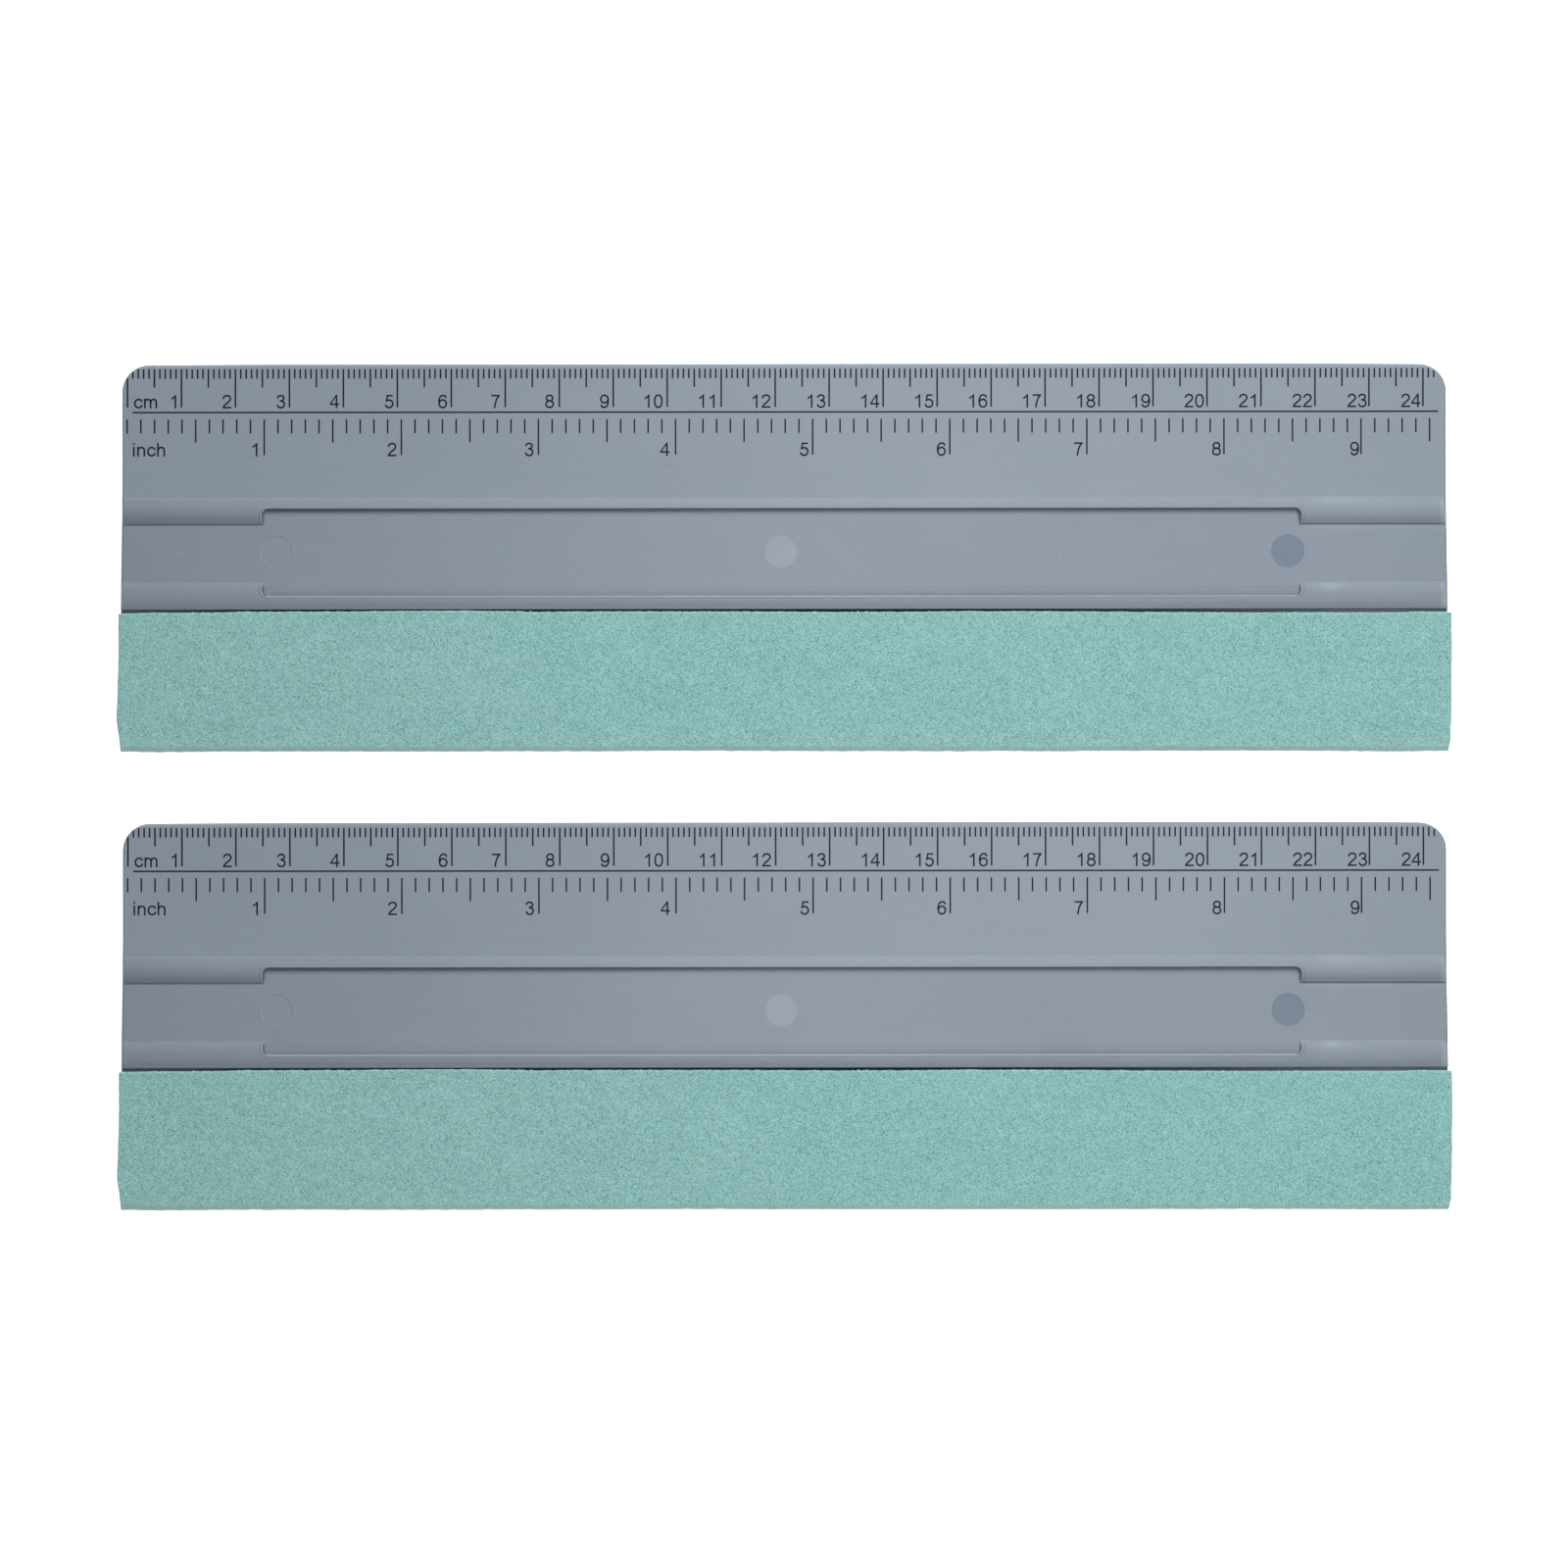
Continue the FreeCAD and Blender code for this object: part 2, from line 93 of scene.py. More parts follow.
# x, depth, tone of the disc, width of its soft edge, tone of its outline
PINS = ((-94.1, 0.030, 0.015, 0.15, -0.03), (-0.5, 0.010, 0.075, 0.60, 0.0),
        (93.4, 0.040, -0.24, 0.20, -0.10))

# ---------------------------------------------------------------- material helpers


class Nodes:
    """A small wrapper that keeps node building short."""

    def __init__(self, name):
        self.mat = bpy.data.materials.new(name)
        self.mat.use_nodes = True
        self.t = self.mat.node_tree
        self.t.nodes.clear()
        self.out = self.t.nodes.new("ShaderNodeOutputMaterial")
        self.coord = self.t.nodes.new("ShaderNodeTexCoord").outputs["Object"]

    def mapped(self, scale=(1.0, 1.0, 1.0), turn=0.0):
        """Object coordinates, turned about Z and stretched."""
        m = self.t.nodes.new("ShaderNodeMapping")
        self.t.links.new(self.coord, m.inputs["Vector"])
        m.inputs["Rotation"].default_value = (0.0, 0.0, math.radians(turn))
        m.inputs["Scale"].default_value = scale
        return m.outputs["Vector"]

    def noise(self, size_mm, detail=2.0, rough=0.5, vec=None, dist=0.0):
        n = self.t.nodes.new("ShaderNodeTexNoise")
        self.t.links.new(vec if vec is not None else self.coord, n.inputs["Vector"])
        n.inputs["Scale"].default_value = 1000.0 / size_mm
        n.inputs["Detail"].default_value = detail
        n.inputs["Roughness"].default_value = rough
        n.inputs["Distortion"].default_value = dist
        return n.outputs["Fac"]

    def math(self, op, a, b=None, clamp=False):
        n = self.t.nodes.new("ShaderNodeMath")
        n.operation = op
        n.use_clamp = clamp
        for i, v in enumerate((a, b)):
            if isinstance(v, bpy.types.NodeSocket):
                self.t.links.new(v, n.inputs[i])
            elif v is not None:
                n.inputs[i].default_value = v
        return n.outputs[0]

    def blend(self, *pairs):
        """Weighted sum of sockets: (socket, weight), ..."""
        total = None
        for s, w in pairs:
            part = self.math('MULTIPLY', s, w)
            total = part if total is None else self.math('ADD', total, part)
        return total

    def remap(self, v, a0, a1, b0, b1, smooth=False):
        n = self.t.nodes.new("ShaderNodeMapRange")
        n.interpolation_type = 'SMOOTHSTEP' if smooth else 'LINEAR'
        self.t.links.new(v, n.inputs["Value"])
        n.inputs["From Min"].default_value = a0
        n.inputs["From Max"].default_value = a1
        n.inputs["To Min"].default_value = b0
        n.inputs["To Max"].default_value = b1
        return n.outputs["Result"]

    def mix(self, fac, a, b):
        n = self.t.nodes.new("ShaderNodeMix")
        n.data_type = 'RGBA'
        for key, v in ((0, fac), (6, a), (7, b)):
            if isinstance(v, bpy.types.NodeSocket):
                self.t.links.new(v, n.inputs[key])
            elif key == 0:
                n.inputs[0].default_value = v
            else:
                n.inputs[key].default_value = (*v, 1.0)
        return n.outputs[2]

    def bump(self, height, strength, dist_mm, normal=None):
        n = self.t.nodes.new("ShaderNodeBump")
        n.inputs["Strength"].default_value = strength
        n.inputs["Distance"].default_value = dist_mm * MM
        self.t.links.new(height, n.inputs["Height"])
        if normal is not None:
            self.t.links.new(normal, n.inputs["Normal"])
        return n.outputs["Normal"]

    def principled(self, **sockets):
        p = self.t.nodes.new("ShaderNodeBsdfPrincipled")
        for k, v in sockets.items():
            s = p.inputs[k.replace("_", " ")]
            if isinstance(v, bpy.types.NodeSocket):
                self.t.links.new(v, s)
            elif isinstance(v, tuple) and len(v) == 3 and s.type == 'RGBA':
                s.default_value = (*v, 1.0)
            else:
                s.default_value = v
        self.t.links.new(p.outputs[0], self.out.inputs["Surface"])
        return p

    def attribute(self, name):
        n = self.t.nodes.new("ShaderNodeAttribute")
        n.attribute_name = name
        return n.outputs["Fac"]


BOARD_RGB = (0.236, 0.278, 0.333)


def plastic_material():
    """Slate-grey moulding: faint clouds of the melt, a fine matt grain."""
    m = Nodes("slate_moulded_plastic")
    cloud = m.noise(55.0, 3.0, 0.55)
    speck = m.noise(0.8, 2.0, 0.6)
    col = m.mix(m.remap(cloud, 0.3, 0.7, 0.0, 1.0),
                tuple(c * 0.97 for c in BOARD_RGB), tuple(c * 1.03 for c in BOARD_RGB))
    col = m.mix(m.remap(speck, 0.35, 0.65, 0.0, 0.12), col, tuple(c * 0.75 for c in BOARD_RGB))
    # a few pale dust-like nicks
    nick = m.remap(m.noise(0.8, 1.0, 0.5, m.mapped((1.0, 0.8, 1.0), 31)), 0.815, 0.83, 0.0, 0.35, True)
    col = m.mix(nick, col, (0.55, 0.58, 0.62))
    streak = m.noise(0.55, 3.0, 0.6, m.mapped((0.12, 1.0, 1.0)))
    col = m.mix(m.remap(streak, 0.35, 0.65, 0.0, 0.10), col, tuple(c * 1.25 for c in BOARD_RGB))
    # the 'tone' attribute holds the pin marks' own tones and, besides them, painted light and shade: above zero it
    # mixes toward white as a painted highlight, below zero toward black as painted shade
    tone = m.attribute("tone")
    col = m.mix(m.math('MAXIMUM', tone, 0.0), col, (1.0, 1.0, 1.0))
    col = m.mix(m.math('MULTIPLY', m.math('MINIMUM', tone, 0.0), -1.0), col, (0.0, 0.0, 0.0))
    col = m.mix(m.attribute("cool"), col, (0.160, 0.268, 0.400))
    grain = m.noise(0.26, 3.0, 0.6)
    flow = m.noise(9.0, 2.0, 0.5, m.mapped((0.25, 1.0, 1.0)))
    rough = m.blend((m.remap(m.noise(14.0, 4.0, 0.6), 0.3, 0.7, 0.42, 0.49), 1.0),
                    (m.remap(grain, 0.3, 0.7, -0.03, 0.03), 1.0),
                    (m.math('MULTIPLY', m.math('MINIMUM', tone, 0.0), -1.0), 0.7))
    nrm = m.bump(flow, 0.25, 0.03)
    nrm = m.bump(grain, 0.40, 0.012, nrm)
    m.principled(Base_Color=col, Roughness=rough, Normal=nrm,
                 **{"Specular IOR Level": 0.85})
    return m.mat


def ink_material():
    m = Nodes("dark_slate_ink")
    # pinholes and thin spots where the screen left too little ink
    thin = m.remap(m.noise(2.2, 3.0, 0.65), 0.20, 0.24, 1.0, 0.0, True)
    fine = m.remap(m.noise(0.20, 2.0, 0.6), 0.26, 0.32, 1.0, 0.0, True)
    gap = m.math('MAXIMUM', m.math('MULTIPLY', thin, 0.6), m.math('MULTIPLY', fine, 0.22))
    ink = m.mix(m.noise(1.3, 2.0, 0.5), (0.006, 0.008, 0.014), (0.011, 0.014, 0.021))
    col = m.mix(gap, ink, BOARD_RGB)
    rough = m.remap(m.noise(0.6, 2.0, 0.5), 0.3, 0.7, 0.46, 0.58)
    nrm = m.bump(m.noise(0.12, 2.0, 0.5), 0.3, 0.006)
    m.principled(Base_Color=col, Roughness=rough, Normal=nrm,
                 **{"Specular IOR Level": 0.22})
    return m.mat


def suede_material():
    """Brushed mint microfibre: short fibres lying every way, with dark pits between."""
    m = Nodes("mint_suede")
    clump = m.noise(0.95, 2.0, 0.55, dist=0.5)
    tuft = m.noise(0.25, 2.0, 0.6, dist=0.5)
    fib_a = m.noise(0.17, 1.0, 0.5, m.mapped((1.0, 0.42, 1.0), 28), dist=0.4)
    fib_b = m.noise(0.17, 1.0, 0.5, m.mapped((0.42, 1.0, 1.0), -17), dist=0.4)
    fibre = m.math('MAXIMUM', fib_a, fib_b)
    brush = m.noise(24.0, 3.0, 0.55, m.mapped((1.0, 2.2, 1.0)))
    lean = m.noise(5.5, 2.0, 0.5, m.mapped((1.0, 1.6, 1.0), 12))
    dark, mid, light = (0.074, 0.211, 0.200), (0.180, 0.376, 0.361), (0.330, 0.574, 0.554)
    v = m.blend((clump, 0.08), (tuft, 0.47), (fibre, 0.45))
    col = m.mix(m.remap(v, 0.47, 0.60, 0.0, 1.0), mid, light)
    col = m.mix(m.remap(v, 0.39, 0.49, 0.8, 0.0), col, dark)
    pit = m.remap(m.math('ADD', m.math('MULTIPLY', tuft, 0.45), m.math('MULTIPLY', fib_a, 0.55)),
                  0.345, 0.400, 1.0, 0.0, True)
    col = m.mix(m.math('MULTIPLY', pit, 0.45), col, (0.075, 0.195, 0.185))
    col = m.mix(m.remap(brush, 0.35, 0.65, 0.0, 0.10), col, light)
    col = m.mix(m.remap(lean, 0.35, 0.65, 0.0, 0.07), col, dark)
    # the 'cut' attribute: above zero the suede turns paler, below zero it takes a thin painted dark shade
    edge_pale_and_shade = m.attribute("cut")
    col = m.mix(m.math('MULTIPLY', m.math('MAXIMUM', edge_pale_and_shade, 0.0), 0.20), col, (0.60, 0.80, 0.77))
    col = m.mix(m.math('MULTIPLY', m.math('MINIMUM', edge_pale_and_shade, 0.0), -1.0), col, (0.05, 0.08, 0.08))
    nrm = m.bump(clump, 0.5, 0.12)
    nrm = m.bump(tuft, 0.7, 0.12, nrm)
    nrm = m.bump(fibre, 0.6, 0.06, nrm)
    rough = m.remap(tuft, 0.3, 0.7, 0.86, 1.0)
    m.principled(Base_Color=col, Roughness=rough, Normal=nrm,
                 **{"Specular IOR Level": 0.12, "Sheen Weight": 0.25,
                    "Sheen Roughness": 0.55, "Sheen Tint": (0.75, 0.95, 0.93, 1.0)})
    return m.mat


def film_material():
    m = Nodes("adhesive_film")
    v = m.noise(1.6, 3.0, 0.6)
    col = m.mix(m.remap(v, 0.3, 0.7, 0.0, 1.0), (0.60, 0.62, 0.58), (0.74, 0.76, 0.72))
    rough = m.remap(v, 0.3, 0.7, 0.25, 0.45)
    nrm = m.bump(m.noise(0.5, 2.0, 0.5), 0.3, 0.02)
    m.principled(Base_Color=col, Roughness=rough, Normal=nrm)
    return m.mat


# ---------------------------------------------------------------- mesh helpers

def merged(*arrays, gap=0.012):
    """Sorted sample positions with near-duplicates dropped."""
    v = np.sort(np.concatenate([np.atleast_1d(np.asarray(a, float)) for a in arrays]))
    out = [v[0]]
    for x in v[1:]:
        if x - out[-1] > gap:
            out.append(x)
    return np.array(out)


def around(centre, half, n):
    return np.linspace(centre - half, centre + half, n)


def quarter(r, n):
    """Distances from a rounded edge, spaced evenly round the arc."""
    return r * (1 - np.cos(np.linspace(0, math.pi / 2, n)))


def quarter_drop(e, r):
    """How far a quarter round of radius r has fallen at distance e from its edge."""
    t = np.clip(r - e, 0, r)
    return r - np.sqrt(np.maximum(r * r - t * t, 0))


def smooth_noise(u, v, rng):
    """Smooth random field of cells one unit wide, from -1 to 1, at u, v."""
    u, v = np.broadcast_arrays(np.asarray(u, float), np.asarray(v, float))
    u, v = u - u.min(), v - v.min()
    g = rng.uniform(-1, 1, (int(u.max()) + 3, int(v.max()) + 3))
    iu, iv = np.floor(u).astype(int), np.floor(v).astype(int)
    fu, fv = u - iu, v - iv
    fu, fv = fu * fu * (3 - 2 * fu), fv * fv * (3 - 2 * fv)
    return (g[iu, iv] * (1 - fu) * (1 - fv) + g[iu + 1, iv] * fu * (1 - fv)
            + g[iu, iv + 1] * (1 - fu) * fv + g[iu + 1, iv + 1] * fu * fv)


def new_object(name, verts_mm, faces, dy, mat, smooth_angle, attrs):
    co = np.asarray(verts_mm, float) * MM
    co[:, 1] += dy
    me = bpy.data.meshes.new(name)
    me.from_pydata(co.tolist(), [], [tuple(int(i) for i in f) for f in faces])
    me.validate()
    me.polygons.foreach_set("use_smooth", [True] * len(me.polygons))
    me.set_sharp_from_angle(angle=math.radians(smooth_angle))
    for key, values in attrs.items():
        a = me.attributes.new(key, 'FLOAT', 'POINT')
        a.data.foreach_set("value", np.asarray(values, np.float32))
    me.update()
    me.materials.append(mat)
    ob = bpy.data.objects.new(name, me)
    scene.collection.objects.link(ob)
    return ob


# ---------------------------------------------------------------- board

def crown(points):
    """A bead's section as dense (d, z) points: its ramps, and between them an
    arc through the three middle points."""
    (ax, ay), (bx, by), (cx, cy) = points[1:4]
    k = 2 * (ax * (by - cy) + bx * (cy - ay) + cx * (ay - by))
    sa, sb, sc = ax * ax + ay * ay, bx * bx + by * by, cx * cx + cy * cy
    ux = (sa * (by - cy) + sb * (cy - ay) + sc * (ay - by)) / k
    uz = (sa * (cx - bx) + sb * (ax - cx) + sc * (bx - ax)) / k
    r = math.hypot(ax - ux, ay - uz)
    ds = np.linspace(ax, cx, 40)
    arc = list(zip(ds, uz + np.sqrt(r * r - (ds - ux) ** 2)))
    return np.array([points[0]] + arc + list(points[4:]))


TABLE_D = np.arange(20.0, 45.25, 0.02)


def bead_table(points):
    """A bead's height over the straight line between its two feet, with its
    corners eased by a tenth of a millimetre."""
    c = crown(points)
    z = np.interp(TABLE_D, c[:, 0], c[:, 1])
    chord = np.interp(TABLE_D, (c[0, 0], c[-1, 0]), (c[0, 1], c[-1, 1]))
    z = np.where((TABLE_D > c[0, 0]) & (TABLE_D < c[-1, 0]), z - chord, 0.0)
    kernel = np.hanning(13)
    return np.convolve(z, kernel / kernel.sum(), mode="same")


BEADS = bead_table(BEAD1) + bead_table(BEAD2)


def half_width(d):
    """Half the board's width, with its rounded plan corners."""
    d = np.asarray(d, float)
    w = (W_TOP + (W_LOW - W_TOP) * np.clip((d - D_FLARE) / (D_LOW - D_FLARE), 0, 1)) / 2.0
    top = W_TOP / 2 - CORNER_R + np.sqrt(np.maximum(CORNER_R**2 - np.maximum(CORNER_R - d, 0) ** 2, 0))
    w = np.where(d < CORNER_R, np.minimum(w, top), w)
    e = D_TIP - BLADE_R
    low = W_LOW / 2 - BLADE_R + np.sqrt(np.maximum(BLADE_R**2 - np.maximum(d - e, 0) ** 2, 0))
    return np.where(d > e, np.minimum(w, low), w)


def outline_round(x, d):
    """Distance inward from the outline, and the radius of its rounding there."""
    ax = np.abs(x)
    side = half_width(np.clip(d, CORNER_R, D_TIP - BLADE_R)) - ax
    base_r = np.where(d < D_STEP, SIDE_R, 0.12)
    cx = W_TOP / 2 - CORNER_R
    hx, hd = np.maximum(ax - cx, 0), np.maximum(CORNER_R - d, 0)
    far = np.hypot(hx, hd)
    at_top = d < CORNER_R
    e = np.where(at_top, np.minimum(CORNER_R - far, side), side)
    share = np.where(at_top, (hd / np.maximum(far, 1e-9)) ** 2, 0.0)
    r = base_r + (EDGE_R - base_r) * share
    cx = W_LOW / 2 - BLADE_R
    hx, hd = np.maximum(ax - cx, 0), np.maximum(d - (D_TIP - BLADE_R), 0)
    far = np.hypot(hx, hd)
    at_tip = hd > 0
    e = np.where(at_tip, np.minimum(BLADE_R - far, side), e)
    share = np.where(at_tip, (hd / np.maximum(far, 1e-9)) ** 2, 0.0)
    r = np.where(at_tip, base_r + (TIP_R - base_r) * share, r)
    return np.maximum(e, 0), r


def pocket_level(x, d):
    """How far up the pocket's leaning wall a point is: 0 at the floor, 1 at the rim."""
    cx, cd = sum(POCKET_X) / 2, sum(POCKET_D) / 2
    hx0 = (POCKET_X[1] - POCKET_X[0]) / 2 - DRAFT_END
    hd0 = (POCKET_D[1] - POCKET_D[0]) / 2 - DRAFT_SIDE
    r0 = POCKET_R - DRAFT_SIDE
    lo = np.full(x.shape, -0.6)
    hi = np.full(x.shape, 1.9)
    px, pd = np.abs(x - cx), np.abs(d - cd)
    for _ in range(26):
        s = (lo + hi) / 2
        r = np.maximum(r0 + s * DRAFT_SIDE, 0.2)
        qx = px - (hx0 + s * DRAFT_END - r)
        qd = pd - (hd0 + s * DRAFT_SIDE - r)
        sdf = np.hypot(np.maximum(qx, 0), np.maximum(qd, 0)) + np.minimum(np.maximum(qx, qd), 0) - r
        inside = sdf < 0
        hi = np.where(inside, s, hi)
        lo = np.where(inside, lo, s)
    return (lo + hi) / 2


def ridge(d, centre, width):
    return np.exp(-((d - centre) / width) ** 2)


def top_height(x, d):
    """The board's upper surface, in millimetres."""
    ax = np.abs(x)
    inward = half_width(np.clip(d, CORNER_R, 60)) - ax
    s = np.clip((inward - 0.12) / np.where(x < 0, 0.40, 1.45), 0, 1)
    fade = np.sqrt(np.maximum(1 - (1 - s) ** 2, 0))
    z = np.interp(d, (0, BEAD1[0][0], BEAD1[-1][0], BEAD2[0][0], D_STEP + 0.03, D_STEP + 0.08, D_TURN, D_TIP),
                  (Z_FACE, Z_FACE, Z_FLOOR, Z_FLOOR, BEAD2[-1][1], Z_ROOT, Z_TIP, Z_TIP))
    z = z + np.interp(d, TABLE_D, BEADS, left=0, right=0) * fade
    # a shallow sink at the foot of bead 1, and hairlines left by the mould's inserts
    z = z - (0.055 + 0.035 * np.clip(x / 60, -1, 1)) * np.clip((d - 29.62) / 0.12, 0, 1) * np.clip((30.75 - d) / 0.95, 0, 1) ** 1.3
    z = z + 0.016 * ridge(d, 23.97, 0.08)
    z = z + 0.020 * ridge(d, 38.52, 0.07) * np.clip((x + 20) / 140, 0.2, 1)
    z = z + 0.024 * ridge(d, 39.95, 0.07) * np.clip((x + 20) / 140, 0.35, 1)
    z = z + 0.030 * (ridge(d, 38.50, 0.07) + ridge(d, 39.95, 0.07)) * ridge(x, 120.6, 0.8)
    # a groove at the blade's root, where the suede's edge tucks in
    z = z - 0.45 * np.clip((d - 45.38) / 0.05, 0, 1) * np.clip((46.05 - d) / 0.12, 0, 1)
    # the pocket, cut through the beads down to the channel's floor
    t = pocket_level(x, d)
    w = np.clip(t, 0, 1)
    w = 0.45 * w + 0.55 * w * w * (3 - 2 * w)
    near = (d > POCKET_D[0] - 2) & (d < POCKET_D[1] + 2)
    over = z - Z_FLOOR
    burr = 0.035 * np.exp(-((t - 1.22) / 0.16) ** 2) * (ax > 94.0) * np.clip(over / 0.3, 0, 1)
    burr = burr + 0.045 * np.exp(-((t - 1.05) / 0.28) ** 2) * (ax <= 96.0) * (d > 42.0)
    z = np.where(near, Z_FLOOR + over * w + burr, z)
    # ejector-pin marks
    for px, depth, *_ in PINS:
        r = np.hypot(x - px, d - PIN_D)
        z = z - depth * np.clip((PIN_R - r) / 0.15, 0, 1)
        z = z + (0.020 if px < -50 else 0.008) * np.exp(-((r - PIN_R - 0.12) / 0.10) ** 2)
    # rounding along the whole outline
    e, r = outline_round(x, d)
    return z - quarter_drop(e, r)


def board_rows():
    return merged(
        quarter(EDGE_R, 9), np.linspace(0.7, CORNER_R, 16), np.arange(6.0, 21.0, 2.0), D_FLARE,
        around(23.97, 0.16, 7), np.linspace(24.45, 25.9, 18), np.linspace(26.0, 26.45, 5),
        np.linspace(26.52, 26.86, 11), np.linspace(27.0, 28.8, 13), np.linspace(28.9, 29.95, 15),
        (30.1, 30.3, 30.5, 30.75, 31.1, 31.4), around(PIN_D, 3.25, 45),
        around(38.52, 0.16, 7), around(39.95, 0.16, 7), np.linspace(40.2, 41.4, 15),
        (41.6, 41.8, 41.95), np.linspace(42.05, 43.25, 31), np.linspace(43.4, 44.6, 7),
        np.linspace(44.7, BEAD2[-1][0], 7), (45.36, 45.39, 45.42, 45.46, 45.55, 45.7, 45.85, 45.93, 46.05, D_REBATE, D_REBATE + 0.03),
        np.arange(48.0, 68.0, 3.0), np.linspace(D_TIP - BLADE_R, D_TURN, 8),
        D_TIP - quarter(TIP_R, 7))


def board_columns(rows):
    """X of every grid point. The middle columns are straight; outside x0 they
    squeeze up to follow the outline at their real distance from it."""
    x0 = 115.0
    mid = merged(
        np.arange(-x0, x0 + 0.1, 4.6), x0,
        *[around(pin[0], 3.25, 45) for pin in PINS],
        np.linspace(POCKET_X[0] - 0.65, POCKET_X[0] + 1.05, 24), (-95.2, -94.9),
        np.linspace(POCKET_X[1] - 1.05, POCKET_X[1] + 0.65, 24), (94.4, 94.7), gap=0.04)
    keep = merged(quarter(SIDE_R, 8), (0.45, 0.6, 0.8, 1.0, 1.2, 1.4, 1.6, 1.8, 2.2), gap=0.003)[::-1]
    out = []
    for w in half_width(rows):
        room = w - x0
        near = room - keep * min(1.0, room / 3.0)
        far = np.linspace(0, near[0], 6)[1:-1]
        side = x0 + np.concatenate([far, near])
        out.append(np.concatenate([-side[::-1], mid, side]))
    return np.array(out)


def board_mesh():
    """One closed shell: the shaped upper face, the walls, and the flat back."""
    rows = board_rows()
    X = board_columns(rows)
    n_rows, cols = X.shape
    D = np.repeat(rows[:, None], cols, 1)
    # the moulding strays a little: fuller at the right end and along the middle of the edge
    stray_x = 0.17 * np.clip((X - 110) / 12, 0, 1)
    stray_y = 0.14 * np.clip(1 - D / 7, 0, 1) * np.clip((119 - np.abs(X)) / 25, 0, 1)
    top = np.stack([X + stray_x, Y_EDGE - D + stray_y, top_height(X, D)], -1).reshape(-1, 3)
    tone = np.zeros_like(X)
    for px, _, shade, soft, rim in PINS:
        r = np.hypot(X - px, D - PIN_D)
        tone += shade * np.clip((PIN_R + soft / 2 - r) / soft, 0, 1)
        tone += rim * np.exp(-((r - PIN_R) / 0.13) ** 2)
    # painted shade: the beads and the channel are darkened below the printed face, most of all to the left
    stations = (-120, -103, -54, -18, 25, 54, 83, 109, 119)
    painted_shade_bead1 = np.interp(X, stations, (-0.17, -0.10, -0.05, -0.00, -0.01, -0.04, -0.05, -0.00, -0.05))
    painted_shade_floor = np.interp(X, stations, (-0.11, -0.09, -0.05, -0.01, -0.04, -0.08, -0.06, -0.04, -0.06))
    floor_from = np.where(np.abs(X) < 96.2, POCKET_D[0], BEAD1[-1][0])
    tone += painted_shade_bead1 * np.clip((D - BEAD1[0][0]) / 0.6, 0, 1) * np.clip((floor_from - D) / 0.3 + 1, 0, 1)
    tone += painted_shade_floor * np.clip((D - floor_from) / 0.3, 0, 1) * np.clip((44.4 - D) / 1.8, 0, 1)
    # painted shade over bead 2, damping its highlight
    tone -= np.where(X > 97, 0.03, 0.05) * np.clip((D - 40.6) / 0.8, 0, 1) * np.clip((44.0 - D) / 1.4, 0, 1)
    # painted highlight: a soft pale sheen where the right-hand beads and the channel beside them begin
    for px, d0, wide, high, painted_sheen in ((101.5, 25.3, 5.5, 0.9, 0.055), (101.0, 30.15, 7.0, 0.55, 0.045),
                                      (99.6, 41.25, 4.5, 0.75, 0.15)):
        tone += painted_sheen * np.exp(-((X - px) / wide) ** 2 - ((D - d0) / high) ** 2) * (X > 97.2)
    # painted shade down in the groove, and a thin painted dark shade along the outline's rounded edge
    tone += (np.interp(X, (-118, -110, -98, 40, 85, 105), (-0.25, -0.32, -0.80, -0.85, -0.45, -0.14))
             * np.clip((D - 45.40) / 0.05, 0, 1) * np.clip((46.3 - D) / 0.1, 0, 1))
    e, _ = outline_round(X, D)
    tone += np.where(X > 0, -0.75, -0.50) * np.exp(-(e / 0.16) ** 2)
    # painted light and shade round the pocket: a painted highlight along its lower rim with painted shade lines below
    # it, painted shade and highlight lines where its end walls cut the beads, a painted shadow at the foot of its
    # upper wall; and painted highlights at the beads' right ends
    t = pocket_level(X, D)
    inside = np.clip((X + 96.2) / 0.6, 0, 1) * np.clip((95.4 - X) / 0.6, 0, 1)
    ends = (np.clip(1 - inside, 0, 1) * (np.abs(X) < 98.5)
            * (np.clip((29.6 - D) / 0.4, 0, 1) + np.clip((D - 40.5) / 0.6, 0, 1)))
    tone += ends * (-0.25 * ridge(t, 1.52, 0.20) + 0.30 * ridge(t, 1.12, 0.15)
                    - np.where(X < 0, 0.55, 0.42) * ridge(t, 0.70, 0.26) - 0.20 * ridge(t, 0.15, 0.4) * (X < 0))
    tone += inside * (0.36 * ridge(D, 43.00, 0.09) - 0.30 * ridge(D, 42.60, 0.09)
                      - 0.20 * ridge(D, 42.24, 0.10) + 0.03 * ridge(D, 42.43, 0.07)
                      - 0.14 * np.exp(-((D - 26.95) / 0.38) ** 2) * (t < 0.5))
    # painted highlight near the beads' right ends
    bead = np.interp(D, TABLE_D, BEADS, left=0, right=0) * (D < 45)
    tone += (0.10 + 0.03 * (D > 38)) * np.clip(bead / 0.3, 0, 1) * np.exp(-((X - (half_width(D) - 0.85)) / 0.5) ** 2)
    idx = np.arange(n_rows * cols).reshape(n_rows, cols)
    quads = [np.stack([idx[:-1, :-1], idx[1:, :-1], idx[1:, 1:], idx[:-1, 1:]], -1).reshape(-1, 4)]
